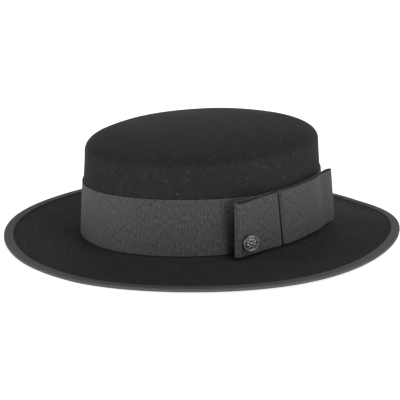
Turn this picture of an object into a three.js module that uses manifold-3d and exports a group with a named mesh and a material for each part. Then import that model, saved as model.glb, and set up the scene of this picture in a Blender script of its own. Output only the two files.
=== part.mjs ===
// A felt boater hat with a low, nearly flat-topped oval crown, a ribbon band, a bow and a bound brim.
// Millimetres, +Z up. The front of the hat looks along -Y and the bow is on the wearer's left, +X.
// The brim rests on the plane z = 0 at its front and back, and the origin is under the middle of the brim.

import * as THREE from 'three';
import { mergeVertices } from 'three/addons/utils/BufferGeometryUtils.js';
import Module from 'manifold-3d';

const wasm = await Module();
wasm.setup();

// Crown
const crownLength = 206.2;
const crownWidth = 174.6;
const crownHeight = 89.3;
const crownTaper = 4.6;
const topRise = 18.5;
const topRoundness = 0.61;
const crownLean = THREE.MathUtils.degToRad(1.8);
const feltThickness = 2.3;

// Brim
const brimWidth = 60.5;
const brimHeight = 9.6;
const breakRadius = 2.0;
const brimDish = 0.3;
const edgeLift = 5.6;
const feltEdgeThickness = 1.0;
const skiveLength = 1.0;

// The foot of the crown and the band's top edge wave a little: both are highest at waveAngle round
// from the front and opposite it, and dip by this much halfway between
const waveAngle = THREE.MathUtils.degToRad(33);
const footDip = 2.3;
const bandTopDip = 4.2;

// Ribbon
const bandWidth = 41.6;
const bandThickness = 1.0;
const bindingWidth = 7.2;
const bindingThickness = 1.0;
const bindingRound = 0.5;
const clearance = 0.3;

// Bow
const bowAngle = THREE.MathUtils.degToRad(85.7);
const bowSlit = 0.8;
const slitSlant = 4.4;
const frontLoopLength = 42.3;
const frontLoopStand = 16.2;
const frontEndSlant = 3.4;
const rearLoopLength = 77.6;
const rearLoopStand = 8.0;
const rearEndSlant = 2.0;
const bowDrop = 0.5;

// Pin
const pinDiameter = 12.5;
const pinThickness = 2.0;
const pinDome = 0.9;
const pinRim = 1.1;
const pinRimDepth = 0.5;
const pinChamfer = 0.3;
const pinPostDiameter = 1.6;
const pinBackDiameter = 4.0;
const pinBackThickness = 0.5;
const pinAlong = 32.9;
const pinUp = 10.8;
const pinTurn = THREE.MathUtils.degToRad(22);

// How finely the round shapes are cut up
const hatSides = 72;
const topSteps = 9;
const topSpread = 1.5;
const breakSteps = 3;
const wallSteps = 3;
const brimRings = [0.14, 0.32, 0.52, 0.72];
const loopSteps = 56;
const pinSides = 24;
const drillSides = 12;
const domeSteps = [0.7, 0.35];

// The brim round the hat, from the front to the back: the left and right halves are alike.
// width is a share of brimWidth, and lift, the height of the edge off the table, one of edgeLift.
const brimTable = [
  { name: 'front', width: 0.942, lift: -0.07 },
  { name: 'front quarter', width: 1.002, lift: 0.38 },
  { name: 'side', width: 1.043, lift: 0.57 },
  { name: 'rear quarter', width: 0.997, lift: 1.0 },
  { name: 'back', width: 0.974, lift: -0.10 },
];

// The middle of the ribbon in each bow loop, seen from above, once round the closed loop.
// along is a share of the loop's length from the slit, and low and high are the stand-off
// from the band at the ribbon's bottom and top edge, as shares of the loop's stand.
const frontLoopTable = [
  { along: 0.00, low: 0.04, high: 0.11 },
  { along: 0.03, low: 0.085, high: 0.22 },
  { along: 0.25, low: 0.09, high: 0.36 },
  { along: 0.45, low: 0.16, high: 0.47 },
  { along: 0.62, low: 0.28, high: 0.63 },
  { along: 0.80, low: 0.42, high: 0.87 },
  { along: 0.92, low: 0.53, high: 0.99 },
  { along: 0.985, low: 0.55, high: 0.95 },
  { along: 1.00, low: 0.43, high: 0.74 },
  { along: 0.96, low: 0.24, high: 0.48 },
  { along: 0.83, low: 0.13, high: 0.37 },
  { along: 0.68, low: 0.06, high: 0.31 },
  { along: 0.52, low: 0.02, high: 0.22 },
  { along: 0.36, low: 0.00, high: 0.11 },
  { along: 0.20, low: 0.00, high: 0.04 },
  { along: 0.08, low: 0.00, high: 0.00 },
  { along: 0.03, low: 0.00, high: 0.00 },
];
const rearLoopTable = [
  { along: 0.00, low: 0.08, high: 0.22 },
  { along: 0.02, low: 0.175, high: 0.44 },
  { along: 0.12, low: 0.175, high: 0.44 },
  { along: 0.25, low: 0.175, high: 0.41 },
  { along: 0.40, low: 0.18, high: 0.39 },
  { along: 0.52, low: 0.22, high: 0.44 },
  { along: 0.64, low: 0.35, high: 0.53 },
  { along: 0.78, low: 0.52, high: 0.69 },
  { along: 0.90, low: 0.77, high: 0.88 },
  { along: 0.98, low: 0.95, high: 0.98 },
  { along: 1.00, low: 0.88, high: 0.86 },
  { along: 0.97, low: 0.66, high: 0.58 },
  { along: 0.88, low: 0.40, high: 0.34 },
  { along: 0.74, low: 0.17, high: 0.16 },
  { along: 0.58, low: 0.05, high: 0.06 },
  { along: 0.42, low: 0.01, high: 0.01 },
  { along: 0.25, low: 0.00, high: 0.00 },
  { along: 0.06, low: 0.00, high: 0.00 },
  { along: 0.02, low: 0.00, high: 0.00 },
];

const halfLength = crownLength / 2;
const halfWidth = crownWidth / 2;
const wallHeight = crownHeight - topRise;
const bandBottom = brimHeight + breakRadius + clearance;
const bandStand = clearance + bandThickness;
const bowStand = bandStand + clearance + bandThickness / 2;
const bindingStand = clearance + bindingThickness;
const edgeTop = bindingStand + feltEdgeThickness;

// A smooth even curve round the hat, through values at equal steps from the front to the back
function aroundHat(values) {
  const last = values.length - 1;
  const weights = values.map((_, order) => {
    let sum = 0;
    values.forEach((value, i) => {
      const half = i === 0 || i === last ? 0.5 : 1;
      sum += half * value * Math.cos((Math.PI * order * i) / last);
    });
    const ends = order === 0 || order === last ? 1 : 2;
    return (sum * ends) / last;
  });
  return (theta) => weights.reduce((sum, weight, order) => sum + weight * Math.cos(order * theta), 0);
}

const widthShare = aroundHat(brimTable.map((row) => row.width));
const liftShare = aroundHat(brimTable.map((row) => row.lift));
const brimWidthAt = (theta) => brimWidth * widthShare(theta);
const edgeLiftAt = (theta) => Math.max(0, edgeLift * liftShare(theta));
const brimShift = (brimWidthAt(Math.PI) - brimWidthAt(0)) / 2;
const waveAt = (theta) => Math.sin(theta - waveAngle) ** 2;
const brimHeightAt = (theta) => brimHeight - footDip * waveAt(theta);

// How far the straight crown wall has drawn in at a height
const wallInset = (z) => (crownTaper * z) / wallHeight;

// A point of the upright crown: theta runs from the front round by the wearer's left
function ovalPoint(theta, inset, z) {
  const x = (halfWidth - inset) * Math.sin(theta);
  const y = -(halfLength - inset) * Math.cos(theta);
  return new THREE.Vector3(x, y, z);
}

// The crown leans a little to the front, about the X axis
const lean = (point) => point.applyAxisAngle(new THREE.Vector3(1, 0, 0), crownLean);

// Turns rings of points into one closed body: firstPole and lastPole are the points that close its
// ends, and closed joins its last ring to the first
function skin(rings, options = {}) {
  const { firstPole, lastPole, closed } = options;
  const sides = rings[0].length;
  const positions = rings.flat().flatMap((point) => point.toArray());
  const faces = [];
  const bands = closed ? rings.length : rings.length - 1;
  for (let i = 0; i < bands; i += 1) {
    const next = (i + 1) % rings.length;
    for (let k = 0; k < sides; k += 1) {
      const after = (k + 1) % sides;
      const a = i * sides + k;
      const b = i * sides + after;
      const c = next * sides + after;
      const d = next * sides + k;
      faces.push(a, c, b, a, d, c);
    }
  }
  if (firstPole) {
    positions.push(...firstPole.toArray());
    const pole = positions.length / 3 - 1;
    for (let k = 0; k < sides; k += 1) faces.push(pole, k, (k + 1) % sides);
  }
  if (lastPole) {
    positions.push(...lastPole.toArray());
    const pole = positions.length / 3 - 1;
    const start = (rings.length - 1) * sides;
    for (let k = 0; k < sides; k += 1) faces.push(pole, start + ((k + 1) % sides), start + k);
  }
  const geometry = new THREE.BufferGeometry();
  geometry.setAttribute('position', new THREE.Float32BufferAttribute(positions, 3));
  geometry.setIndex(faces);
  geometry.computeVertexNormals();
  return geometry;
}

const hatAngles = Array.from({ length: hatSides }, (_, k) => (2 * Math.PI * k) / hatSides);
const hatRing = (pointAt) => hatAngles.map((theta) => pointAt(theta));
const steps = (count) => Array.from({ length: count + 1 }, (_, i) => i / count);

// The top of the felt brim: share runs from 0 at the crown to 1 at the felt's edge
function brimTop(theta, share) {
  const height = brimHeightAt(theta);
  const start = lean(ovalPoint(theta, wallInset(height) - breakRadius, height));
  const reach = brimWidthAt(theta) - bindingStand;
  const end = ovalPoint(theta, -reach, edgeLiftAt(theta) + edgeTop);
  const point = start.clone().lerp(end, share);
  point.z = end.z + (start.z - end.z) * (1 - share) ** 2 - brimDish * 4 * share * (1 - share);
  return point;
}

// The same share measured inwards from the felt's edge
const shareFromEdge = (theta, inset) => 1 - inset / (brimWidthAt(theta) - bindingStand);

// The rings of one side of the crown: its rounded top, its wall and the break into the brim.
// depth is 0 outside and the felt's thickness inside.
function crownRings(depth) {
  const rings = [];
  for (const share of steps(topSteps).slice(1)) {
    const turn = (Math.PI / 2) * (1 - share) ** topSpread;
    const z = wallHeight + (topRise - depth) * Math.sin(turn) ** topRoundness;
    rings.push(hatRing((theta) => {
      const point = ovalPoint(theta, crownTaper + depth, z);
      point.x *= Math.cos(turn);
      point.y *= Math.cos(turn);
      return lean(point);
    }));
  }
  for (const share of steps(wallSteps).slice(1)) {
    rings.push(hatRing((theta) => {
      const z = wallHeight + (brimHeightAt(theta) + breakRadius - wallHeight) * share;
      return lean(ovalPoint(theta, wallInset(z) + depth, z));
    }));
  }
  for (const share of steps(breakSteps).slice(1)) {
    const turn = (Math.PI / 2) * share;
    const radius = breakRadius + depth;
    rings.push(hatRing((theta) => {
      const height = brimHeightAt(theta);
      const inset = wallInset(height + breakRadius * (1 - share)) - breakRadius + radius * Math.cos(turn);
      return lean(ovalPoint(theta, inset, height + breakRadius - radius * Math.sin(turn)));
    }));
  }
  return rings;
}

// The felt is one piece: a hollow crown, open below, and its brim
function feltBody() {
  const skiveStart = bindingWidth + clearance + skiveLength;
  const topRings = brimRings.map((share) => hatRing((theta) => brimTop(theta, share)));
  topRings.push(hatRing((theta) => brimTop(theta, shareFromEdge(theta, skiveStart))));
  topRings.push(hatRing((theta) => brimTop(theta, shareFromEdge(theta, bindingWidth))));
  topRings.push(hatRing((theta) => brimTop(theta, 1)));
  const underRings = brimRings.map((share) => hatRing((theta) => {
    const point = brimTop(theta, share);
    point.z -= feltThickness;
    return point;
  }));
  underRings.push(hatRing((theta) => {
    const point = brimTop(theta, shareFromEdge(theta, skiveStart));
    point.z -= feltThickness;
    return point;
  }));
  for (const inset of [bindingWidth + clearance, 0]) {
    underRings.push(hatRing((theta) => {
      const point = brimTop(theta, shareFromEdge(theta, inset));
      point.z = edgeLiftAt(theta) + bindingStand;
      return point;
    }));
  }
  const outside = [...crownRings(0), ...topRings];
  const inside = [...crownRings(feltThickness), ...underRings].reverse();
  const tip = lean(new THREE.Vector3(0, 0, crownHeight));
  const innerTip = lean(new THREE.Vector3(0, 0, crownHeight - feltThickness));
  return skin([...outside, ...inside], { firstPole: tip, lastPole: innerTip });
}

// The band is a closed ribbon round the foot of the crown, with its seam under the bow
function hatBand() {
  const bandTop = bandBottom + bandWidth;
  const corners = [
    { stand: clearance, level: bandBottom, dip: footDip },
    { stand: clearance, level: bandTop, dip: bandTopDip },
    { stand: bandStand, level: bandTop, dip: bandTopDip },
    { stand: bandStand, level: bandBottom, dip: footDip },
  ];
  const rings = corners.map(({ stand, level, dip }) => hatRing((theta) => {
    const z = level - dip * waveAt(theta);
    return ovalPoint(theta, wallInset(z) - stand, z);
  }));
  return skin(rings, { closed: true });
}

// The binding is a ribbon folded over the edge of the brim
function brimBinding() {
  const brimAt = (theta, inset) => brimTop(theta, shareFromEdge(theta, inset - bindingStand));
  const corners = [
    { inset: bindingWidth, side: 'top', off: clearance },
    { inset: bindingWidth, side: 'top', off: bindingStand },
    { inset: bindingRound, side: 'top', off: bindingStand },
    { inset: 0, side: 'top', off: bindingStand - bindingRound },
    { inset: 0, side: 'bottom', off: bindingRound },
    { inset: bindingRound, side: 'bottom', off: 0 },
    { inset: bindingWidth, side: 'bottom', off: 0 },
    { inset: bindingWidth, side: 'bottom', off: bindingThickness },
    { inset: bindingThickness, side: 'bottom', off: bindingThickness },
    { inset: bindingThickness, side: 'top', off: clearance },
  ];
  const rings = corners.map(({ inset, side, off }) => hatRing((theta) => {
    const level = side === 'top' ? brimAt(theta, Math.max(inset, bindingStand)).z : edgeLiftAt(theta);
    const point = brimAt(theta, inset);
    point.z = level + off;
    return point;
  }));
  return skin(rings, { closed: true });
}

// A point beside the crown: along is measured round the wall from the middle of the slit,
// stand is the distance off the felt, and z the height on the upright crown
function bowPoint(along, stand, z) {
  return ovalPoint(bowAngle + along / halfLength, wallInset(z) - stand, z);
}

const bowBottom = bandBottom - bowDrop;
const slitLean = (z) => slitSlant * (0.5 - (z - bowBottom) / bandWidth);

// The middle line of a loop's ribbon at a height, as points of along and stand
function loopLine(loop, z) {
  const high = (z - bowBottom) / bandWidth;
  const start = slitLean(z) + loop.side * (bowSlit / 2 + bandThickness / 2);
  const reach = loop.length - (bowSlit + bandThickness) / 2 + loop.endSlant * (0.5 - high);
  const points = loop.table.map((row) => {
    const stand = loop.stand * (row.low + (row.high - row.low) * high);
    return new THREE.Vector3(start + loop.side * row.along * reach, bowStand + stand, 0);
  });
  return new THREE.CatmullRomCurve3(points, true, 'centripetal');
}

// One ribbon sewn into a flattened loop that stands off the band at its far end
function bowLoop(loop) {
  const lows = loopLine(loop, bowBottom);
  const highs = loopLine(loop, bowBottom + bandWidth);
  const corners = [
    { line: lows, z: bowBottom, off: -bandThickness / 2 },
    { line: lows, z: bowBottom, off: bandThickness / 2 },
    { line: highs, z: bowBottom + bandWidth, off: bandThickness / 2 },
    { line: highs, z: bowBottom + bandWidth, off: -bandThickness / 2 },
  ];
  const rings = corners.map(({ line, z, off }) => Array.from({ length: loopSteps }, (_, i) => {
    const share = i / loopSteps;
    const middle = line.getPoint(share);
    const tangent = line.getTangent(share);
    return bowPoint(middle.x + off * tangent.y, middle.y - off * tangent.x, z);
  }));
  return skin(rings, { closed: true });
}

const frontLoop = {
  side: -1, length: frontLoopLength, stand: frontLoopStand, endSlant: frontEndSlant, table: frontLoopTable,
};
const rearLoop = {
  side: 1, length: rearLoopLength, stand: rearLoopStand, endSlant: rearEndSlant, table: rearLoopTable,
};

// Where the pin goes through the outer layer of the front loop, and the direction that it faces:
// it hangs turned a little to the front of the hat
function pinSeat() {
  const searchStep = 1 / 2000;
  const nearby = 1;
  const z = bowBottom + pinUp;
  const line = loopLine(frontLoop, z);
  let share = 0;
  while (line.getPoint(share).x > slitLean(z) - pinAlong) share += searchStep;
  const middle = line.getPoint(share);
  const place = bowPoint(middle.x, middle.y, z);
  const ahead = line.getPoint(share + nearby / line.getLength());
  const sideways = bowPoint(ahead.x, ahead.y, z).sub(place);
  const above = loopLine(frontLoop, z + nearby).getPoint(share);
  const upwards = bowPoint(above.x, above.y, z + nearby).sub(place);
  const outward = upwards.cross(sideways).normalize();
  if (outward.x < 0) outward.negate();
  return { place, facing: outward.applyAxisAngle(new THREE.Vector3(0, 0, 1), -pinTurn) };
}

const seat = pinSeat();
const seatTurn = new THREE.Quaternion().setFromUnitVectors(new THREE.Vector3(0, 1, 0), seat.facing);

// How far off the ribbon's middle a disc of a radius must be, along the turned post, to clear the ribbon
function discStand(radius) {
  return (bandThickness / 2 + clearance + radius * Math.sin(pinTurn)) / Math.cos(pinTurn);
}

// The pin: a domed round head with a raised rim, a post through the ribbon and a small back plate
function pin() {
  const radius = pinDiameter / 2;
  const head = discStand(radius);
  const back = -discStand(pinBackDiameter / 2);
  const well = radius - pinRim;
  const floor = head + pinThickness - pinRimDepth;
  const profile = [
    [0, back - pinBackThickness],
    [pinBackDiameter / 2, back - pinBackThickness],
    [pinBackDiameter / 2, back],
    [pinPostDiameter / 2, back],
    [pinPostDiameter / 2, head],
    [radius - pinChamfer, head],
    [radius, head + pinChamfer],
    [radius, head + pinThickness - pinChamfer],
    [radius - pinChamfer, head + pinThickness],
    [well + pinChamfer, head + pinThickness],
    [well, floor],
    ...domeSteps.map((share) => [well * share, floor + pinDome * (1 - share ** 2)]),
    [0, floor + pinDome],
  ];
  return new THREE.LatheGeometry(profile.map(([x, y]) => new THREE.Vector2(x, y)), pinSides);
}

// Cuts the hole for the pin's post through the outer layer of the front loop
function cutPinHole(geometry) {
  const mergeDistance = 1e-5;
  const drillRadius = pinPostDiameter / 2 + clearance;
  const solid = (source) => {
    const bare = source.clone();
    bare.deleteAttribute('normal');
    bare.deleteAttribute('uv');
    const merged = mergeVertices(bare, mergeDistance);
    const mesh = new wasm.Mesh({
      numProp: 3,
      vertProperties: new Float32Array(merged.attributes.position.array),
      triVerts: new Uint32Array(merged.index.array),
    });
    return new wasm.Manifold(mesh);
  };
  const drillLength = bandThickness + 2 * (clearance + drillRadius);
  const drill = new THREE.CylinderGeometry(drillRadius, drillRadius, drillLength, drillSides);
  drill.applyQuaternion(seatTurn);
  drill.translate(seat.place.x, seat.place.y, seat.place.z);
  const cut = solid(geometry).subtract(solid(drill)).getMesh();
  const result = new THREE.BufferGeometry();
  result.setAttribute('position', new THREE.Float32BufferAttribute(cut.vertProperties, 3));
  result.setIndex(Array.from(cut.triVerts));
  result.computeVertexNormals();
  return result;
}

const felt = new THREE.MeshStandardMaterial({ color: 0x202124, roughness: 0.95, metalness: 0 });
const ribbon = new THREE.MeshStandardMaterial({ color: 0x3b3b3e, roughness: 0.7, metalness: 0 });
const edging = new THREE.MeshStandardMaterial({ color: 0x424245, roughness: 0.7, metalness: 0 });
const pewter = new THREE.MeshStandardMaterial({ color: 0x77777a, roughness: 0.35, metalness: 1 });

function named(name, geometry, material) {
  const mesh = new THREE.Mesh(geometry, material);
  mesh.name = name;
  return mesh;
}

const hat = new THREE.Group();
hat.position.y = -brimShift;
hat.add(named('felt_body', feltBody(), felt));
hat.add(named('brim_binding', brimBinding(), edging));

const onCrown = new THREE.Group();
onCrown.rotation.x = crownLean;
onCrown.add(named('hat_band', hatBand(), ribbon));
onCrown.add(named('bow_front_loop', cutPinHole(bowLoop(frontLoop)), ribbon));
onCrown.add(named('bow_rear_loop', bowLoop(rearLoop), ribbon));
const pinMesh = named('pin', pin(), pewter);
pinMesh.position.copy(seat.place);
pinMesh.quaternion.copy(seatTurn);
onCrown.add(pinMesh);
hat.add(onCrown);

export default hat;
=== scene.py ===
# The looks of a felt boater hat: blocked wool felt, ribbed ribbon, a side bow and a small pewter pin.
# Sizes are in millimetres until a mesh is made, where MM turns them into metres.
# +Z is up, the front of the hat looks along -Y and the bow is on the wearer's left, +X.

import math

import bpy
import numpy as np
from mathutils import Matrix, Vector, noise


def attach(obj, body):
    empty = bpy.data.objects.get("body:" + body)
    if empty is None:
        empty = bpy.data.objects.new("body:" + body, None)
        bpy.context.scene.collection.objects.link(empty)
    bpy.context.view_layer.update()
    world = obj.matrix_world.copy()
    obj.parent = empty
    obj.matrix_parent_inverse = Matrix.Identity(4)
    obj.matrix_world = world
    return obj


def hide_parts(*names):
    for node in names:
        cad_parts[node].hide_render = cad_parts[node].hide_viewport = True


MM = 0.001

# Crown
CROWN_LENGTH = 206.2
CROWN_WIDTH = 174.6
CROWN_HEIGHT = 89.3
CROWN_TAPER = 4.6
TOP_RISE = 18.5
TOP_ROUNDNESS = 0.61
CROWN_LEAN = math.radians(1.8)
FELT_THICKNESS = 2.3

# Brim
BRIM_WIDTH = 60.5
BRIM_HEIGHT = 9.6
BREAK_RADIUS = 2.0
BRIM_DISH = 0.3
EDGE_LIFT = 5.6
FELT_EDGE_TOP = 2.3
FELT_EDGE_THICKNESS = 1.7
FELT_EDGE_INSET = 0.9
PRESSED_FADE = 2.0

# The foot of the crown and the band's top edge wave a little: both are highest at WAVE_ANGLE round
# from the front and opposite it, and dip by this much halfway between
WAVE_ANGLE = math.radians(33)
FOOT_DIP = 2.3
BAND_TOP_DIP = 4.2

# How far hand blocking leaves the felt off its true shape, and over what distance
UNEVENNESS = 0.35
UNEVENNESS_SIZE = 38
UNEVENNESS_FADE = 8

# Ribbons
BAND_WIDTH = 41.6
BAND_BOTTOM = 11.9
BAND_LENGTH = 598
BAND_GAP = 0.25
RIBBON_THICKNESS = 0.6
RIB_PITCH = 1.65
RIB_HEIGHT = 0.16
RIB_ROUNDNESS = 0.8
SELVEDGE_WIDTH = 0.9
SELVEDGE_SWELL = 0.07
SELVEDGE_FLATNESS = 0.4
SCALLOP = 0.10
BINDING_WIDTH = 7.2
BINDING_LENGTH = 985
BINDING_THICKNESS = 0.4
BINDING_GAP = 0.02
BINDING_RIB_PITCH = 1.1
BINDING_RIB_HEIGHT = 0.05
FOLD_SQUARENESS = 0.7

# Painted light and shade on the binding: its fold is painted paler this far in from the edge, and its
# flat faces are painted darker, at this share of the fold's grey
BINDING_FOLD_LIGHT_DEPTH = 1.8
BINDING_FLAT_SHADE = 0.85

# Bow
BOW_ANGLE = math.radians(85.7)
BOW_SLIT = 0.8
SLIT_SLANT = 4.4
BOW_DROP = 0.5
BOW_STAND = 2.1
LOOP_WALL = 1.0

# Pin
PIN_DIAMETER = 12.5
PIN_HEIGHT = 2.0
PIN_ALONG = 32.9
PIN_UP = 10.8
PIN_TURN = math.radians(22)
PIN_GAP = 0.05
PIN_POST_SHARE = 0.13

# The pin's sunk face and its rosette. The face's height is a share of PIN_HEIGHT, places and breadths
# are shares of the radius, and the dome and the relief are in millimetres
FACE_HEIGHT = 0.84
FACE_DOME = 0.45
FACE_RELIEF = 0.4
FACE_EDGE = 0.80
FACE_MIDDLE = 0.02
PETALS = 8
PETAL_PLACE = 0.45
PETAL_BREADTH = 0.17
HUB_BREADTH = 0.15
BEAD_PLACE = 0.72
BEAD_BREADTH = 0.035
BEAD_RELIEF = 0.6

# The pin's rim is rubbed bright above this share of its height, and this much as bright below it
RUBBED_ABOVE = 0.9
UNRUBBED = 0.35

# How finely the cloth and the pin are cut up. BAND_ROWS and LOOP_ROWS are for a ribbon's outer and
# inner face, the binding's pairs are for each flat face and for the fold, LOOP_STEPS lie between two
# rows of a loop's table, and the FINE values are only for measuring
FELT_SIDES = 320
TOP_RINGS = 40
TOP_RING_SPACING = 1.5
WALL_RINGS = 30
BREAK_RINGS = 7
BRIM_RINGS = 34
SAMPLES_PER_RIB = 6
SELVEDGE_ROWS = (0.0, 0.25, 0.6, 0.95)
BAND_ROWS = (10, 2)
LOOP_ROWS = (12, 12)
LOOP_STEPS = 40
LOOP_FINE_POINTS = 2000
BINDING_SAMPLES_PER_RIB = 4
BINDING_OUTER_ROWS = (4, 9)
BINDING_INNER_ROWS = (2, 4)
BINDING_FINE_ROWS = (5, 41)
PIN_SIDES = 96
FACE_RINGS = 30

# The brim round the hat, from the front to the back, as shares of BRIM_WIDTH and EDGE_LIFT
BRIM_TABLE = [
    {"place": "front", "width": 0.942, "lift": -0.07},
    {"place": "front quarter", "width": 1.002, "lift": 0.38},
    {"place": "side", "width": 1.043, "lift": 0.57},
    {"place": "rear quarter", "width": 0.997, "lift": 1.0},
    {"place": "back", "width": 0.974, "lift": -0.10},
]

# The middle of each bow loop's ribbon, seen from above, once round the closed loop.
# along is a share of the loop's length from the slit, and low and high are the stand-off
# from the band at the ribbon's bottom and top edge, as shares of the loop's stand.
FRONT_LOOP = {
    "side": -1,
    "length": 42.3,
    "stand": 16.2,
    "end_slant": 3.4,
    "table": [
        {"along": 0.00, "low": 0.04, "high": 0.11},
        {"along": 0.03, "low": 0.085, "high": 0.22},
        {"along": 0.25, "low": 0.09, "high": 0.36},
        {"along": 0.45, "low": 0.16, "high": 0.47},
        {"along": 0.62, "low": 0.28, "high": 0.63},
        {"along": 0.80, "low": 0.42, "high": 0.87},
        {"along": 0.92, "low": 0.53, "high": 0.99},
        {"along": 0.985, "low": 0.55, "high": 0.95},
        {"along": 1.00, "low": 0.43, "high": 0.74},
        {"along": 0.96, "low": 0.24, "high": 0.48},
        {"along": 0.83, "low": 0.13, "high": 0.37},
        {"along": 0.68, "low": 0.06, "high": 0.31},
        {"along": 0.52, "low": 0.02, "high": 0.22},
        {"along": 0.36, "low": 0.00, "high": 0.11},
        {"along": 0.20, "low": 0.00, "high": 0.04},
        {"along": 0.08, "low": 0.00, "high": 0.00},
        {"along": 0.03, "low": 0.00, "high": 0.00},
    ],
}
REAR_LOOP = {
    "side": 1,
    "length": 77.6,
    "stand": 8.0,
    "end_slant": 2.0,
    "table": [
        {"along": 0.00, "low": 0.08, "high": 0.22},
        {"along": 0.02, "low": 0.175, "high": 0.44},
        {"along": 0.12, "low": 0.175, "high": 0.44},
        {"along": 0.25, "low": 0.175, "high": 0.41},
        {"along": 0.40, "low": 0.18, "high": 0.39},
        {"along": 0.52, "low": 0.27, "high": 0.48},
        {"along": 0.64, "low": 0.37, "high": 0.50},
        {"along": 0.74, "low": 0.38, "high": 0.45},
        {"along": 0.82, "low": 0.57, "high": 0.67},
        {"along": 0.92, "low": 0.86, "high": 0.94},
        {"along": 0.98, "low": 0.95, "high": 0.98},
        {"along": 1.00, "low": 0.88, "high": 0.86},
        {"along": 0.97, "low": 0.66, "high": 0.58},
        {"along": 0.88, "low": 0.40, "high": 0.34},
        {"along": 0.74, "low": 0.17, "high": 0.16},
        {"along": 0.58, "low": 0.05, "high": 0.06},
        {"along": 0.42, "low": 0.01, "high": 0.01},
        {"along": 0.25, "low": 0.00, "high": 0.00},
        {"along": 0.06, "low": 0.00, "high": 0.00},
        {"along": 0.02, "low": 0.00, "high": 0.00},
    ],
}

# The pin's rim in section, from its back over the top to the sunk face
PIN_RIM = [
    {"radius": 0.90, "height": 0.00},
    {"radius": 0.95, "height": 0.00},
    {"radius": 0.985, "height": 0.05},
    {"radius": 1.00, "height": 0.14},
    {"radius": 1.00, "height": 0.78},
    {"radius": 0.99, "height": 0.88},
    {"radius": 0.965, "height": 0.955},
    {"radius": 0.93, "height": 0.99},
    {"radius": 0.895, "height": 1.00},
    {"radius": 0.86, "height": 0.98},
    {"radius": 0.835, "height": 0.93},
    {"radius": 0.82, "height": 0.86},
]

# Looks. A texture is a number of spots to the metre and a level of detail, a ribbon's texture has
# spots along and across it, ramps are pairs of a place and a grey, and depths are in millimetres
CLOUD_MIDDLE = 0.5
FELT_SHADER = {
    "Roughness": 0.95,
    "Specular IOR Level": 0.12,
    "Sheen Weight": 0.16,
    "Sheen Roughness": 0.2,
    "Sheen Tint": (0.6, 0.6, 0.6, 1),
}
MOTTLE = (420, 5)
MOTTLE_SHADES = [(0.3, 0.0192), (0.7, 0.0308)]
HAIRS = (260, 2)
HAIR_EDGES = [(0.004, 1.0), (0.012, 0.0)]
HAIR_PATCHES = (90, 1)
HAIR_PATCH_EDGES = [(0.58, 0.0), (0.66, 1.0)]
HAIR_GREY = 0.06
LINT_SPOTS = 110
LINT_EDGES = [(0.04, 1.0), (0.065, 0.0)]
LINT_GREY = 0.10
NAP = (1500, 3)
NAP_DEPTH = 0.4
NAP_STRENGTH = 0.6
RIBBON_SHADER = {"Roughness": 0.6, "Sheen Roughness": 0.4}
# Each ribbon's grey on the rib crests, the painted shade in its grooves, its gloss, sheen and grain
RIBBON_LOOK = {"rib": 0.072, "groove_shade": 0.0475, "gloss": 0.25, "sheen": 0.09, "grain": 0.52}
EDGING_LOOK = {"rib": 0.1335, "groove_shade": 0.0427, "gloss": 0.06, "sheen": 0.01, "grain": 0.15}
# The places on the rib number where the grooves' painted shade ends and the crests' grey starts
GROOVE_SHADE_END = 0.1
RIB_START = 0.9
GRAIN = (700, 330)
GRAIN_DETAIL = 3
GRAIN_RANGE = (0.25, 0.75)
THREADS = (600, 1000)
THREAD_WANDER = 0.6
THREAD_DEPTH = 0.06
THREAD_STRENGTH = 0.5
PEWTER_SHADES = [(0.1, 0.11), (0.9, 0.28)]
SCRATCHES = (2200, 3)
SCRATCH_ROUGHNESS = [(0.3, 0.34), (0.7, 0.55)]
SCRATCH_DEPTH = 0.05
SCRATCH_STRENGTH = 0.4

# The camera, as the photograph was taken, in degrees and metres
VIEW_AZIMUTH = 45.136
VIEW_ELEVATION = 15.2
VIEW_ROLL = 0.8125
VIEW_TARGET = Vector((-0.0019, -0.0037, 0.0262))
VIEW_DISTANCE = 1.10
SENSOR_WIDTH = 36
LENS = 125.334

# The studio in metres, with soft lights placed by compass direction and height in degrees
FLOOR_SHADER = {
    "Roughness": 1.0,
    "Specular IOR Level": 0.0,
    "Base Color": (0.80, 0.80, 0.80, 1),
    "Emission Color": (1, 1, 1, 1),
    "Emission Strength": 0.84,
}
FLOOR_HALF = 6.0
FLOOR_DROP = 0.0002
SURROUND = (0.02, 0.02, 0.02, 1)
LIGHT_DISTANCE = 1.6
SOFT_LIGHTS = [
    {"name": "right", "azimuth": 80, "elevation": 12, "width": 0.5, "height": 0.4, "watts": 6.2},
    {"name": "right_high", "azimuth": 100, "elevation": 42, "width": 0.8, "height": 0.5, "watts": 5.0},
    {"name": "left", "azimuth": -30, "elevation": 8, "width": 0.8, "height": 0.4, "watts": 11.3},
    {"name": "top_right", "azimuth": 78, "elevation": 62, "width": 0.8, "height": 0.6, "watts": 7.0},
    {"name": "back", "azimuth": 222, "elevation": 34, "width": 1.4, "height": 0.5, "watts": 8.5},
]

HALF_LENGTH = CROWN_LENGTH / 2
HALF_WIDTH = CROWN_WIDTH / 2
WALL_HEIGHT = CROWN_HEIGHT - TOP_RISE
BAND_TOP = BAND_BOTTOM + BAND_WIDTH
BOW_BOTTOM = BAND_BOTTOM - BOW_DROP


def around_hat(values):
    """A smooth even curve round the hat, through values at equal steps from the front to the back."""
    last = len(values) - 1
    weights = []
    for order in range(last + 1):
        total = 0.0
        for i, value in enumerate(values):
            half = 0.5 if i in (0, last) else 1.0
            total += half * value * math.cos(math.pi * order * i / last)
        weights.append(total * (1 if order in (0, last) else 2) / last)
    return lambda theta: sum(w * np.cos(order * theta) for order, w in enumerate(weights))


width_share = around_hat([row["width"] for row in BRIM_TABLE])
lift_share = around_hat([row["lift"] for row in BRIM_TABLE])
BRIM_SHIFT = BRIM_WIDTH * (BRIM_TABLE[-1]["width"] - BRIM_TABLE[0]["width"]) / 2


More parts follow.
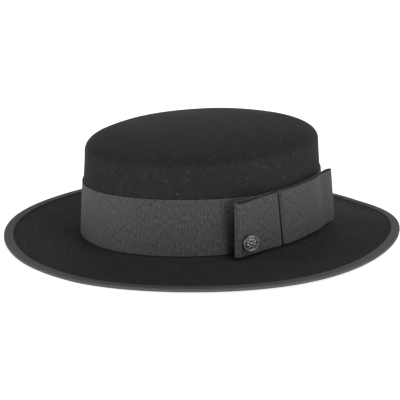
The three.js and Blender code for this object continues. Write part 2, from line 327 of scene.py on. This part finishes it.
def brim_width_at(theta):
    return BRIM_WIDTH * width_share(theta)


def edge_lift_at(theta):
    return np.maximum(0.0, EDGE_LIFT * lift_share(theta))


def wave(theta):
    return np.sin(theta - WAVE_ANGLE) ** 2


def brim_height_at(theta):
    return BRIM_HEIGHT - FOOT_DIP * wave(theta)


def wall_inset(z):
    """How far the straight crown wall has drawn in at a height."""
    return CROWN_TAPER * z / WALL_HEIGHT


def oval(theta, inset, z):
    """Points of the upright crown: theta runs from the front round by the wearer's left."""
    theta, inset, z = np.broadcast_arrays(theta, inset, z)
    x = (HALF_WIDTH - inset) * np.sin(theta)
    y = -(HALF_LENGTH - inset) * np.cos(theta)
    return np.stack([x, y, z], axis=-1)


def lean(points):
    """The crown leans a little to the front, about the X axis."""
    turned = points.copy()
    c, s = math.cos(CROWN_LEAN), math.sin(CROWN_LEAN)
    turned[..., 1] = c * points[..., 1] - s * points[..., 2]
    turned[..., 2] = s * points[..., 1] + c * points[..., 2]
    return turned


def settled(points):
    """From the hat's own middle to the frame's origin, in metres."""
    placed = points.copy()
    placed[..., 1] -= BRIM_SHIFT
    return placed * MM


def angles(count):
    return np.arange(count) * (2 * math.pi / count)


def make_mesh(name, points, faces, material, flat=None):
    """A smooth mesh in metres. For cloth, flat gives each face corner's place on the flat cloth."""
    mesh = bpy.data.meshes.new(name)
    mesh.vertices.add(len(points))
    mesh.vertices.foreach_set("co", points.astype(np.float32).ravel())
    sizes = np.array([len(face) for face in faces], dtype=np.int32)
    starts = np.concatenate([[0], np.cumsum(sizes)[:-1]]).astype(np.int32)
    corners = np.concatenate([np.asarray(face, dtype=np.int32) for face in faces])
    mesh.loops.add(len(corners))
    mesh.loops.foreach_set("vertex_index", corners)
    mesh.polygons.add(len(faces))
    mesh.polygons.foreach_set("loop_start", starts)
    mesh.polygons.foreach_set("loop_total", sizes)
    if flat is not None:
        layer = mesh.uv_layers.new(name="cloth")
        layer.uv.foreach_set("vector", np.asarray(flat, dtype=np.float32).ravel())
    mesh.update(calc_edges=True)
    mesh.validate()
    mesh.shade_smooth()
    mesh.materials.append(material)
    piece = bpy.data.objects.new(name, mesh)
    bpy.context.scene.collection.objects.link(piece)
    return piece


def paint(piece, name, values):
    """Keeps a number at each point of a mesh, for its material to read."""
    layer = piece.data.attributes.new(name, "FLOAT", "POINT")
    layer.data.foreach_set("value", np.asarray(values, dtype=np.float32).ravel())


def grid_faces(rows, columns, closed_rows):
    """Quads of a grid whose columns close on themselves, and its rows too if asked."""
    i = np.arange(rows if closed_rows else rows - 1)
    k = np.arange(columns)
    i, k = np.meshgrid(i, k, indexing="ij")
    i, k = i.ravel(), k.ravel()
    down = (i + 1) % rows
    after = (k + 1) % columns
    here, below = i * columns, down * columns
    return np.stack([here + k, below + k, below + after, here + after], axis=1)


def brim_top(theta, inset):
    """The top of the felt brim, at a distance in from the outermost edge of the binding."""
    height = brim_height_at(theta)
    start = lean(oval(theta, wall_inset(height) - BREAK_RADIUS, height))
    reach = brim_width_at(theta)
    end = oval(theta, -reach, edge_lift_at(theta) + FELT_EDGE_TOP)
    share = 1 - inset / reach
    points = start + (end - start) * share[..., None]
    points[..., 2] = end[..., 2] + (start[..., 2] - end[..., 2]) * (1 - share) ** 2
    points[..., 2] -= BRIM_DISH * 4 * share * (1 - share)
    return points


def felt_rings(depth):
    """One side of the felt as rings from the crown's tip to the brim's edge, each with how uneven
    it may be."""
    theta = angles(FELT_SIDES)
    rings = []
    for share in np.linspace(0, 1, TOP_RINGS)[1:]:
        turn = math.pi / 2 * (1 - share) ** TOP_RING_SPACING
        z = WALL_HEIGHT + (TOP_RISE - depth) * math.sin(turn) ** TOP_ROUNDNESS
        points = oval(theta, CROWN_TAPER + depth, z)
        points[:, :2] *= math.cos(turn)
        rings.append((lean(points), 1.0))
    height = brim_height_at(theta)
    for share in np.linspace(0, 1, WALL_RINGS)[1:]:
        z = WALL_HEIGHT + (height + BREAK_RADIUS - WALL_HEIGHT) * share
        free = np.clip((z - BAND_TOP) / UNEVENNESS_FADE, 0, 1)
        rings.append((lean(oval(theta, wall_inset(z) + depth, z)), free))
    for share in np.linspace(0, 1, BREAK_RINGS)[1:]:
        turn = math.pi / 2 * share
        radius = BREAK_RADIUS + depth
        inset = wall_inset(height + BREAK_RADIUS * (1 - share)) - BREAK_RADIUS + radius * math.cos(turn)
        rings.append((lean(oval(theta, inset, height + BREAK_RADIUS - radius * math.sin(turn))), 0.0))
    reach = brim_width_at(theta)
    for share in np.linspace(0, 1, BRIM_RINGS)[1:]:
        inset = reach + (FELT_EDGE_INSET - reach) * share
        points = brim_top(theta, inset)
        clear = BRIM_WIDTH * (1 - share) - BINDING_WIDTH
        if depth:
            points[:, 2] -= np.interp(clear, [0, PRESSED_FADE], [FELT_EDGE_THICKNESS, FELT_THICKNESS])
        rings.append((points, min(max(min(BRIM_WIDTH * share, clear) / UNEVENNESS_FADE, 0.0), 1.0)))
    return rings


def felt_body(material):
    """Crown and brim are one piece of felt, a hollow shell with the small unevenness of hand blocking."""
    outside = felt_rings(0.0)
    inside = felt_rings(FELT_THICKNESS)[::-1]
    rings = outside + inside
    heights = (CROWN_HEIGHT, CROWN_HEIGHT - FELT_THICKNESS)
    tips = [lean(np.array([0.0, 0.0, height])) for height in heights]
    points = np.concatenate([ring for ring, free in rings] + [np.array(tips)])
    quads = grid_faces(len(rings), FELT_SIDES, False).tolist()
    start = (len(rings) - 1) * FELT_SIDES
    tip = len(rings) * FELT_SIDES
    fans = []
    for k in range(FELT_SIDES):
        after = (k + 1) % FELT_SIDES
        fans.append([tip, k, after])
        fans.append([tip + 1, start + after, start + k])
    piece = make_mesh("felt_hat_body", settled(points), quads + fans, material)

    sides = [1.0] * len(outside) + [-1.0] * len(inside)
    push = [np.broadcast_to(free * side, FELT_SIDES) for (ring, free), side in zip(rings, sides)]
    push = np.concatenate(push + [[1, -1]])
    waves = np.array([noise.noise(Vector(point / UNEVENNESS_SIZE)) for point in points])
    normals = np.empty(len(points) * 3, dtype=np.float32)
    piece.data.vertex_normals.foreach_get("vector", normals)
    moved = settled(points) + normals.reshape(-1, 3) * (push * waves * UNEVENNESS * MM)[:, None]
    piece.data.vertices.foreach_set("co", moved.astype(np.float32).ravel())
    piece.data.update()

    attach(piece, "root")
    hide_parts("felt_body")


def rib_wave(distance, pitch):
    """How proud the ribbon is along its length: round ribs with narrow grooves between them."""
    return np.abs(np.sin(math.pi * distance / pitch)) ** RIB_ROUNDNESS


def facing_out(points, quads):
    """The quads turned so that a closed body's faces look outwards."""
    a, b, c, d = (points[quads[:, k]] for k in range(4))
    volume = (a * (np.cross(b, c) + np.cross(c, d))).sum()
    return quads if volume > 0 else quads[:, ::-1]


def ribbon_mesh(name, rings, across, ribs, length, material):
    """A closed ribbon from its rings. across tells how far over the flat ribbon each ring lies, and
    ribs how far up the ribs its points are, from 0 in the grooves to 1: the material paints shade
    into the grooves by it, and any painted light or shade of a face is multiplied in."""
    count = len(rings[0])
    points = settled(np.concatenate(rings))
    quads = facing_out(points, grid_faces(len(rings), count, True))
    ring_of, column_of = quads // count, quads % count
    seam = (column_of == 0) & (column_of.max(axis=1) == count - 1)[:, None]
    along = np.where(seam, count, column_of) * (length / count)
    flat = np.stack([along, np.asarray(across)[ring_of]], axis=-1).reshape(-1, 2)
    piece = make_mesh(name, points, quads.tolist(), material, flat * MM)
    paint(piece, "rib", np.stack(ribs))
    return piece


def rows_across(width, middle_rows):
    """Rows across a ribbon, closer together at both selvedges."""
    edge = np.array(SELVEDGE_ROWS) * SELVEDGE_WIDTH
    middle = np.linspace(edge[-1], width - edge[-1], middle_rows + 2)[1:-1]
    return np.concatenate([edge, middle, width - edge[::-1]])


def sweep_ribbon(name, length, place, faces, material):
    """A closed ribbed ribbon as wide as the band. place(distance, across, off) gives a row's points,
    and faces gives the number of middle rows on the outer and the inner face."""
    ribs = round(length / RIB_PITCH)
    count = ribs * SAMPLES_PER_RIB
    distance = np.arange(count) * (length / count)
    rib = rib_wave(distance, length / ribs)
    rings, across, painted_shading = [], [], []
    for side, middle_rows in zip((1, -1), faces):
        for row in rows_across(BAND_WIDTH, middle_rows)[::side]:
            edge = max(0.0, 1 - min(row, BAND_WIDTH - row) / SELVEDGE_WIDTH)
            ridge = RIB_HEIGHT * rib * (1 - SELVEDGE_FLATNESS * edge)
            proud = RIBBON_THICKNESS / 2 + SELVEDGE_SWELL * edge + ridge
            spread = np.sign(row - BAND_WIDTH / 2) * SCALLOP * rib * (edge == 1)
            rings.append(place(distance, row + spread, side * proud))
            across.append(row)
            # The material paints shade into the grooves by this number; the flat selvedges get none
            painted_shading.append(rib * (1 - edge) + edge)
        end = BAND_WIDTH if side == 1 else 0.0
        beyond = side * (SCALLOP / 2 + SCALLOP * rib)
        rings.append(place(distance, end + beyond, 0 * rib))
        across.append(end)
        painted_shading.append(np.ones(count))
    return ribbon_mesh(name, rings, across, painted_shading, length, material)


def hat_band(material):
    """The band is a closed ribbed ribbon round the foot of the crown."""

    def place(distance, across, off):
        theta = distance * (2 * math.pi / BAND_LENGTH)
        dip = FOOT_DIP + (BAND_TOP_DIP - FOOT_DIP) * across / BAND_WIDTH
        z = BAND_BOTTOM + across - dip * wave(theta)
        stand = BAND_GAP + RIBBON_THICKNESS / 2 + off
        return lean(oval(theta, wall_inset(z) - stand, z))

    piece = sweep_ribbon("ribbon_band", BAND_LENGTH, place, BAND_ROWS, material)
    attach(piece, "root")
    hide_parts("hat_band")


def closed_curve(knots, count):
    """count points of a smooth closed curve through knots, evenly spaced, and its length."""
    total = len(knots)
    fine = []
    for i in range(total):
        p0, p1, p2, p3 = (knots[(i + k - 1) % total] for k in range(4))
        t0 = 0.0
        t1 = t0 + math.dist(p0, p1) ** 0.5
        t2 = t1 + math.dist(p1, p2) ** 0.5
        t3 = t2 + math.dist(p2, p3) ** 0.5
        t = np.linspace(t1, t2, LOOP_STEPS, endpoint=False)[:, None]
        a1 = (t1 - t) / (t1 - t0) * p0 + (t - t0) / (t1 - t0) * p1
        a2 = (t2 - t) / (t2 - t1) * p1 + (t - t1) / (t2 - t1) * p2
        a3 = (t3 - t) / (t3 - t2) * p2 + (t - t2) / (t3 - t2) * p3
        b1 = (t2 - t) / (t2 - t0) * a1 + (t - t0) / (t2 - t0) * a2
        b2 = (t3 - t) / (t3 - t1) * a2 + (t - t1) / (t3 - t1) * a3
        fine.append((t2 - t) / (t2 - t1) * b1 + (t - t1) / (t2 - t1) * b2)
    fine = np.concatenate(fine + [fine[0][:1]])
    steps = np.concatenate([[0], np.cumsum(np.linalg.norm(np.diff(fine, axis=0), axis=1))])
    at = np.arange(count) * (steps[-1] / count)
    even = np.stack([np.interp(at, steps, fine[:, k]) for k in (0, 1)], axis=1)
    return even, steps[-1]


def slit_place(across):
    """The slit between the loops leans: how far round from BOW_ANGLE its middle is at a height."""
    return SLIT_SLANT * (0.5 - across / BAND_WIDTH)


def loop_line(loop, across, count):
    """The middle of a loop's ribbon at a height, as points of along and stand, and its length."""
    high = across / BAND_WIDTH
    start = slit_place(across) + loop["side"] * (BOW_SLIT / 2 + LOOP_WALL / 2)
    reach = loop["length"] - (BOW_SLIT + LOOP_WALL) / 2 + loop["end_slant"] * (0.5 - high)
    knots = []
    for row in loop["table"]:
        stand = loop["stand"] * (row["low"] + (row["high"] - row["low"]) * high)
        knots.append((start + loop["side"] * row["along"] * reach, BOW_STAND + stand))
    return closed_curve(np.array(knots), count)


def bow_place(along, stand, across):
    """Points beside the crown: along runs round the wall from the slit, stand is how far off the felt."""
    z = BOW_BOTTOM + across
    return lean(oval(BOW_ANGLE + along / HALF_LENGTH, wall_inset(z) - stand, z))


def bow_loop(name, loop, node, material):
    """One ribbed ribbon sewn into a flattened loop."""
    length = loop_line(loop, BAND_WIDTH / 2, LOOP_FINE_POINTS)[1]

    def place(distance, across, off):
        middle = loop_line(loop, float(np.mean(across)), len(distance))[0]
        tangent = np.roll(middle, -1, axis=0) - np.roll(middle, 1, axis=0)
        tangent /= np.linalg.norm(tangent, axis=1)[:, None]
        outwards = loop["side"] * off
        along = middle[:, 0] + outwards * tangent[:, 1]
        stand = middle[:, 1] - outwards * tangent[:, 0]
        return bow_place(along, stand, across)

    piece = sweep_ribbon(name, length, place, LOOP_ROWS, material)
    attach(piece, "root")
    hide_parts(node)


def binding_section(off, flat_rows, fold_rows):
    """The folded ribbon in section, at a distance outside its middle: how far in from the edge, how high
    off the felt's middle, and how far over the ribbon."""
    half = (FELT_EDGE_THICKNESS + BINDING_THICKNESS) / 2 + BINDING_GAP
    turn = np.linspace(0, math.pi, fold_rows)
    radius = half + off
    fold = half - radius * np.sin(turn) ** FOLD_SQUARENESS
    fold_rise = radius * np.sign(np.cos(turn)) * np.abs(np.cos(turn)) ** FOLD_SQUARENESS
    flat = np.linspace(BINDING_WIDTH, half, flat_rows, endpoint=False)
    inset = np.concatenate([flat, fold, flat[::-1]])
    rise = np.concatenate([radius + 0 * flat, fold_rise, -radius + 0 * flat])
    steps = np.hypot(np.diff(inset), np.diff(rise))
    return inset, rise, np.concatenate([[0], np.cumsum(steps)])


def brim_binding(material):
    """A narrow ribbed ribbon folded over the brim's edge, all round, with painted light along the fold
    and painted shade on its flat faces.
    """
    ribs = round(BINDING_LENGTH / BINDING_RIB_PITCH)
    count = ribs * BINDING_SAMPLES_PER_RIB
    theta = angles(count)
    rib = rib_wave(np.arange(count), BINDING_SAMPLES_PER_RIB)

    def ring_at(inset, rise):
        points = brim_top(theta, np.broadcast_to(inset, theta.shape))
        points[:, 2] += rise - FELT_EDGE_THICKNESS / 2
        return points

    outer = binding_section(BINDING_THICKNESS / 2, *BINDING_OUTER_ROWS)
    proud = binding_section(BINDING_THICKNESS / 2 + BINDING_RIB_HEIGHT, *BINDING_OUTER_ROWS)
    inner = binding_section(-BINDING_THICKNESS / 2, *BINDING_INNER_ROWS)
    rings, across, painted_shading = [], [], []
    for low_inset, low_rise, high_inset, high_rise, distance in zip(*outer[:2], *proud[:2], outer[2]):
        low = ring_at(low_inset, low_rise)
        high = ring_at(high_inset, high_rise)
        # Painted light along the fold and painted shade on the flat faces, multiplied into the rib number
        fold_light = min(max(1 - low_inset / BINDING_FOLD_LIGHT_DEPTH, 0.0), 1.0)
        rings.append(low + (high - low) * rib[:, None])
        across.append(distance)
        painted_shading.append(rib * (BINDING_FLAT_SHADE + (1 - BINDING_FLAT_SHADE) * fold_light))
    for inset, rise, distance in list(zip(*inner))[::-1]:
        rings.append(ring_at(inset, rise))
        across.append(distance)
        # The inner face gets the flat faces' painted shade
        painted_shading.append(rib * BINDING_FLAT_SHADE)
    piece = ribbon_mesh("edge_binding", rings, across, painted_shading, BINDING_LENGTH, material)
    width = binding_section(0.0, *BINDING_FINE_ROWS)[2][-1]
    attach(piece, "root")
    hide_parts("brim_binding")


def pin_seat():
    """Where the pin's post meets the front loop's outer layer, and the direction that the pin faces."""
    points_ahead = 20
    height_above = PIN_UP + 1
    middle = loop_line(FRONT_LOOP, PIN_UP, LOOP_FINE_POINTS)[0]
    middle_above = loop_line(FRONT_LOOP, height_above, LOOP_FINE_POINTS)[0]
    index = int(np.argmax(middle[:, 0] <= slit_place(PIN_UP) - PIN_ALONG))
    here = bow_place(*middle[index], PIN_UP)
    ahead = bow_place(*middle[index + points_ahead], PIN_UP)
    above = bow_place(*middle_above[index], height_above)
    outward = Vector(above - here).cross(Vector(ahead - here)).normalized()
    if outward.x < 0:
        outward.negate()
    return here, Matrix.Rotation(-PIN_TURN, 3, "Z") @ outward


def pin(material):
    """A small round pewter pin on a post, turned a little to the front of the hat: a raised rim round
    a sunk, slightly domed face with a plain rosette."""
    radius = PIN_DIAMETER / 2
    clear = RIBBON_THICKNESS / 2 + RIB_HEIGHT + PIN_GAP
    stand = (clear + radius * math.sin(PIN_TURN)) / math.cos(PIN_TURN)
    turn = angles(PIN_SIDES)
    rings = [(PIN_POST_SHARE + 0 * turn, -stand + 0 * turn), (PIN_POST_SHARE + 0 * turn, 0 * turn)]
    relief = [np.zeros(PIN_SIDES), np.zeros(PIN_SIDES)]
    for row in PIN_RIM:
        rings.append((row["radius"] + 0 * turn, PIN_HEIGHT * row["height"] + 0 * turn))
        relief.append(np.full(PIN_SIDES, 1.0 if row["height"] > RUBBED_ABOVE else UNRUBBED))
    petals = np.abs(np.cos(PETALS / 2 * turn))
    for share in np.linspace(FACE_EDGE, FACE_MIDDLE, FACE_RINGS):
        petal = petals * math.exp(-(((share - PETAL_PLACE) / PETAL_BREADTH) ** 2))
        hub = math.exp(-((share / HUB_BREADTH) ** 2))
        bead = BEAD_RELIEF * math.exp(-(((share - BEAD_PLACE) / BEAD_BREADTH) ** 2))
        raised = np.clip(petal + hub + bead, 0, 1)
        face = PIN_HEIGHT * FACE_HEIGHT + FACE_DOME * (1 - share**2) + FACE_RELIEF * raised
        rings.append((share + 0 * turn, face))
        relief.append(raised)
    local = []
    for share, height in rings:
        reach = radius * share
        local.append(np.stack([reach * np.cos(turn), reach * np.sin(turn), height], axis=-1))
    points = np.concatenate(local)
    quads = grid_faces(len(rings), PIN_SIDES, False)[:, ::-1].tolist()
    foot = list(range(PIN_SIDES))[::-1]
    middle = list(range(len(points) - PIN_SIDES, len(points)))
    here, facing = pin_seat()
    turned = points @ np.array(Vector((0, 0, 1)).rotation_difference(facing).to_matrix()).T
    turned += here + np.array(facing) * stand
    piece = make_mesh("pewter_pin", settled(turned), quads + [foot, middle], material)
    paint(piece, "relief", np.concatenate(relief))
    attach(piece, "root")
    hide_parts("pin")


def new_material(name, values):
    """A material, its node tree and its shader, with the values that are the same all over."""
    material = bpy.data.materials.new(name)
    material.use_nodes = True
    shader = material.node_tree.nodes["Principled BSDF"]
    for socket, value in values.items():
        shader.inputs[socket].default_value = value
    return material, material.node_tree, shader


def greys(tree, value, stops):
    """The greys that a value stands for, from two pairs of a place and a grey."""
    ramp = tree.nodes.new("ShaderNodeValToRGB")
    for element, (place, grey) in zip(ramp.color_ramp.elements, stops):
        element.position = place
        element.color = (grey, grey, grey, 1)
    tree.links.new(value, ramp.inputs["Fac"])
    return ramp.outputs["Color"]


def cloud(tree, place, scale, detail):
    """A cloudy texture, over the places that an output gives."""
    texture = tree.nodes.new("ShaderNodeTexNoise")
    texture.inputs["Scale"].default_value = scale
    texture.inputs["Detail"].default_value = detail
    tree.links.new(place, texture.inputs["Vector"])
    return texture.outputs["Fac"]


def combined(tree, operation, *values):
    """The result of one operation on outputs and numbers."""
    node = tree.nodes.new("ShaderNodeMath")
    node.operation = operation
    for socket, value in zip(node.inputs, values):
        if isinstance(value, bpy.types.NodeSocket):
            tree.links.new(value, socket)
        else:
            socket.default_value = value
    return node.outputs["Value"]


def roughen(tree, shader, height, depth, strength):
    """Shades the surface as if a texture raised it by up to a depth in millimetres."""
    bump = tree.nodes.new("ShaderNodeBump")
    bump.inputs["Distance"].default_value = depth * MM
    bump.inputs["Strength"].default_value = strength
    tree.links.new(height, bump.inputs["Height"])
    tree.links.new(bump.outputs["Normal"], shader.inputs["Normal"])


def felt_material():
    """Near-black wool felt: a fine cloudy nap with a few paler hairs and specks of lint lying on it."""
    material, tree, shader = new_material("wool_felt", FELT_SHADER)
    place = tree.nodes.new("ShaderNodeTexCoord").outputs["Object"]

    def laid_on(mask, below, grey):
        layer = tree.nodes.new("ShaderNodeMix")
        layer.data_type = "RGBA"
        tree.links.new(mask, layer.inputs["Factor"])
        tree.links.new(below, layer.inputs["A"])
        layer.inputs["B"].default_value = (grey, grey, grey, 1)
        return layer.outputs["Result"]

    shades = greys(tree, cloud(tree, place, *MOTTLE), MOTTLE_SHADES)

    off_middle = combined(tree, "SUBTRACT", cloud(tree, place, *HAIRS), CLOUD_MIDDLE)
    strands = greys(tree, combined(tree, "ABSOLUTE", off_middle), HAIR_EDGES)
    patches = greys(tree, cloud(tree, place, *HAIR_PATCHES), HAIR_PATCH_EDGES)
    haired = laid_on(combined(tree, "MULTIPLY", strands, patches), shades, HAIR_GREY)

    dots = tree.nodes.new("ShaderNodeTexVoronoi")
    dots.inputs["Scale"].default_value = LINT_SPOTS
    tree.links.new(place, dots.inputs["Vector"])
    flecked = laid_on(greys(tree, dots.outputs["Distance"], LINT_EDGES), haired, LINT_GREY)
    tree.links.new(flecked, shader.inputs["Base Color"])

    roughen(tree, shader, cloud(tree, place, *NAP), NAP_DEPTH, NAP_STRENGTH)
    return material


def ribbon_material(name, look):
    """Ribbed ribbon: painted shade in the grooves between the ribs, an uneven grain and fine threads
    across the ribs.
    """
    material, tree, shader = new_material(name, RIBBON_SHADER)
    shader.inputs["Specular IOR Level"].default_value = look["gloss"]
    shader.inputs["Sheen Weight"].default_value = look["sheen"]
    cloth = tree.nodes.new("ShaderNodeUVMap")
    cloth.uv_map = "cloth"

    def spots(along, across):
        scale = tree.nodes.new("ShaderNodeVectorMath")
        scale.operation = "MULTIPLY"
        scale.inputs[1].default_value = (along, across, 1)
        tree.links.new(cloth.outputs["UV"], scale.inputs[0])
        return scale.outputs["Vector"]

    rib = tree.nodes.new("ShaderNodeAttribute")
    rib.attribute_name = "rib"
    # Painted shade: the grooves between the ribs are painted darker than the rib crests
    ribs = greys(tree, rib.outputs["Fac"], [(GROOVE_SHADE_END, look["groove_shade"]), (RIB_START, look["rib"])])
    uneven = cloud(tree, spots(*GRAIN), 1, GRAIN_DETAIL)
    grain = greys(tree, uneven, zip(GRAIN_RANGE, (1 - look["grain"], 1 + look["grain"])))
    blend = tree.nodes.new("ShaderNodeMix")
    blend.data_type = "RGBA"
    blend.blend_type = "MULTIPLY"
    blend.inputs["Factor"].default_value = 1
    tree.links.new(ribs, blend.inputs["A"])
    tree.links.new(grain, blend.inputs["B"])
    tree.links.new(blend.outputs["Result"], shader.inputs["Base Color"])

    threads = tree.nodes.new("ShaderNodeTexWave")
    threads.wave_type = "BANDS"
    threads.bands_direction = "Y"
    threads.wave_profile = "SIN"
    threads.inputs["Scale"].default_value = 1
    threads.inputs["Distortion"].default_value = THREAD_WANDER
    threads.inputs["Detail"].default_value = 1
    tree.links.new(spots(*THREADS), threads.inputs["Vector"])
    roughen(tree, shader, threads.outputs["Fac"], THREAD_DEPTH, THREAD_STRENGTH)
    return material


def pewter_material():
    """Pewter: dark in the hollows, rubbed bright where it stands proud, with fine scratches."""
    material, tree, shader = new_material("pewter", {"Metallic": 1.0})
    relief = tree.nodes.new("ShaderNodeAttribute")
    relief.attribute_name = "relief"
    tree.links.new(greys(tree, relief.outputs["Fac"], PEWTER_SHADES), shader.inputs["Base Color"])
    place = tree.nodes.new("ShaderNodeTexCoord").outputs["Object"]
    scratches = cloud(tree, place, *SCRATCHES)
    tree.links.new(greys(tree, scratches, SCRATCH_ROUGHNESS), shader.inputs["Roughness"])
    roughen(tree, shader, scratches, SCRATCH_DEPTH, SCRATCH_STRENGTH)
    return material


def direction(azimuth, elevation):
    """A direction away from the hat, from its compass angle and its height in degrees."""
    turn, rise = math.radians(azimuth), math.radians(elevation)
    return Vector((math.sin(turn) * math.cos(rise), -math.cos(turn) * math.cos(rise), math.sin(rise)))


def surround():
    """A dim even surround: the soft lights and the bright floor light the hat."""
    world = bpy.data.worlds.new("surround")
    world.use_nodes = True
    world.node_tree.nodes["Background"].inputs["Color"].default_value = SURROUND
    bpy.context.scene.world = world


def soft_light(row):
    data = bpy.data.lights.new(row["name"], "AREA")
    data.shape = "RECTANGLE"
    data.size = row["width"]
    data.size_y = row["height"]
    data.energy = row["watts"]
    light = bpy.data.objects.new(row["name"], data)
    bpy.context.scene.collection.objects.link(light)
    away = direction(row["azimuth"], row["elevation"])
    turned = away.to_track_quat("Z", "Y").to_matrix().to_4x4()
    light.matrix_world = Matrix.Translation(VIEW_TARGET + away * LIGHT_DISTANCE) @ turned


def floor():
    mesh = bpy.data.meshes.new("studio_floor")
    half = FLOOR_HALF
    corners = [(-half, -half, 0), (half, -half, 0), (half, half, 0), (-half, half, 0)]
    mesh.from_pydata(corners, [], [(0, 1, 2, 3)])
    mesh.materials.append(new_material("studio_floor", FLOOR_SHADER)[0])
    plane = bpy.data.objects.new("studio_floor", mesh)
    bpy.context.scene.collection.objects.link(plane)
    plane.location.z = -FLOOR_DROP


def camera():
    """The photograph's view of the hat."""
    back = direction(VIEW_AZIMUTH, VIEW_ELEVATION)
    right = Vector((0, 0, 1)).cross(back).normalized()
    up = back.cross(right)
    roll = math.radians(VIEW_ROLL)
    rolled_right = right * math.cos(roll) + up * math.sin(roll)
    rolled_up = up * math.cos(roll) - right * math.sin(roll)
    data = bpy.data.cameras.new("camera")
    data.sensor_width = SENSOR_WIDTH
    data.lens = LENS
    eye = bpy.data.objects.new("camera", data)
    bpy.context.scene.collection.objects.link(eye)
    axes = Matrix((rolled_right, rolled_up, back)).transposed()
    eye.matrix_world = Matrix.Translation(VIEW_TARGET + back * VIEW_DISTANCE) @ axes.to_4x4()
    bpy.context.scene.camera = eye


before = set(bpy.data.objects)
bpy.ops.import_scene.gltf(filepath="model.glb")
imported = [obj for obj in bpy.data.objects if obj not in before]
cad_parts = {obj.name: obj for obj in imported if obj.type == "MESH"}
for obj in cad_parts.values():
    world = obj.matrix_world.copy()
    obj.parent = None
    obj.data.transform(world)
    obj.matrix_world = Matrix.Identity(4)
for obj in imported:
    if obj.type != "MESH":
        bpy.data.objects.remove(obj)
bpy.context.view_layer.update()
camera()
floor()
surround()
for row in SOFT_LIGHTS:
    soft_light(row)
bpy.context.scene.view_settings.view_transform = "Standard"

felt_body(felt_material())
brim_binding(ribbon_material("edging_cloth", EDGING_LOOK))
ribbon = ribbon_material("ribbon_cloth", RIBBON_LOOK)
hat_band(ribbon)
bow_loop("bow_front", FRONT_LOOP, "bow_front_loop", ribbon)
bow_loop("bow_rear", REAR_LOOP, "bow_rear_loop", ribbon)
pin(pewter_material())
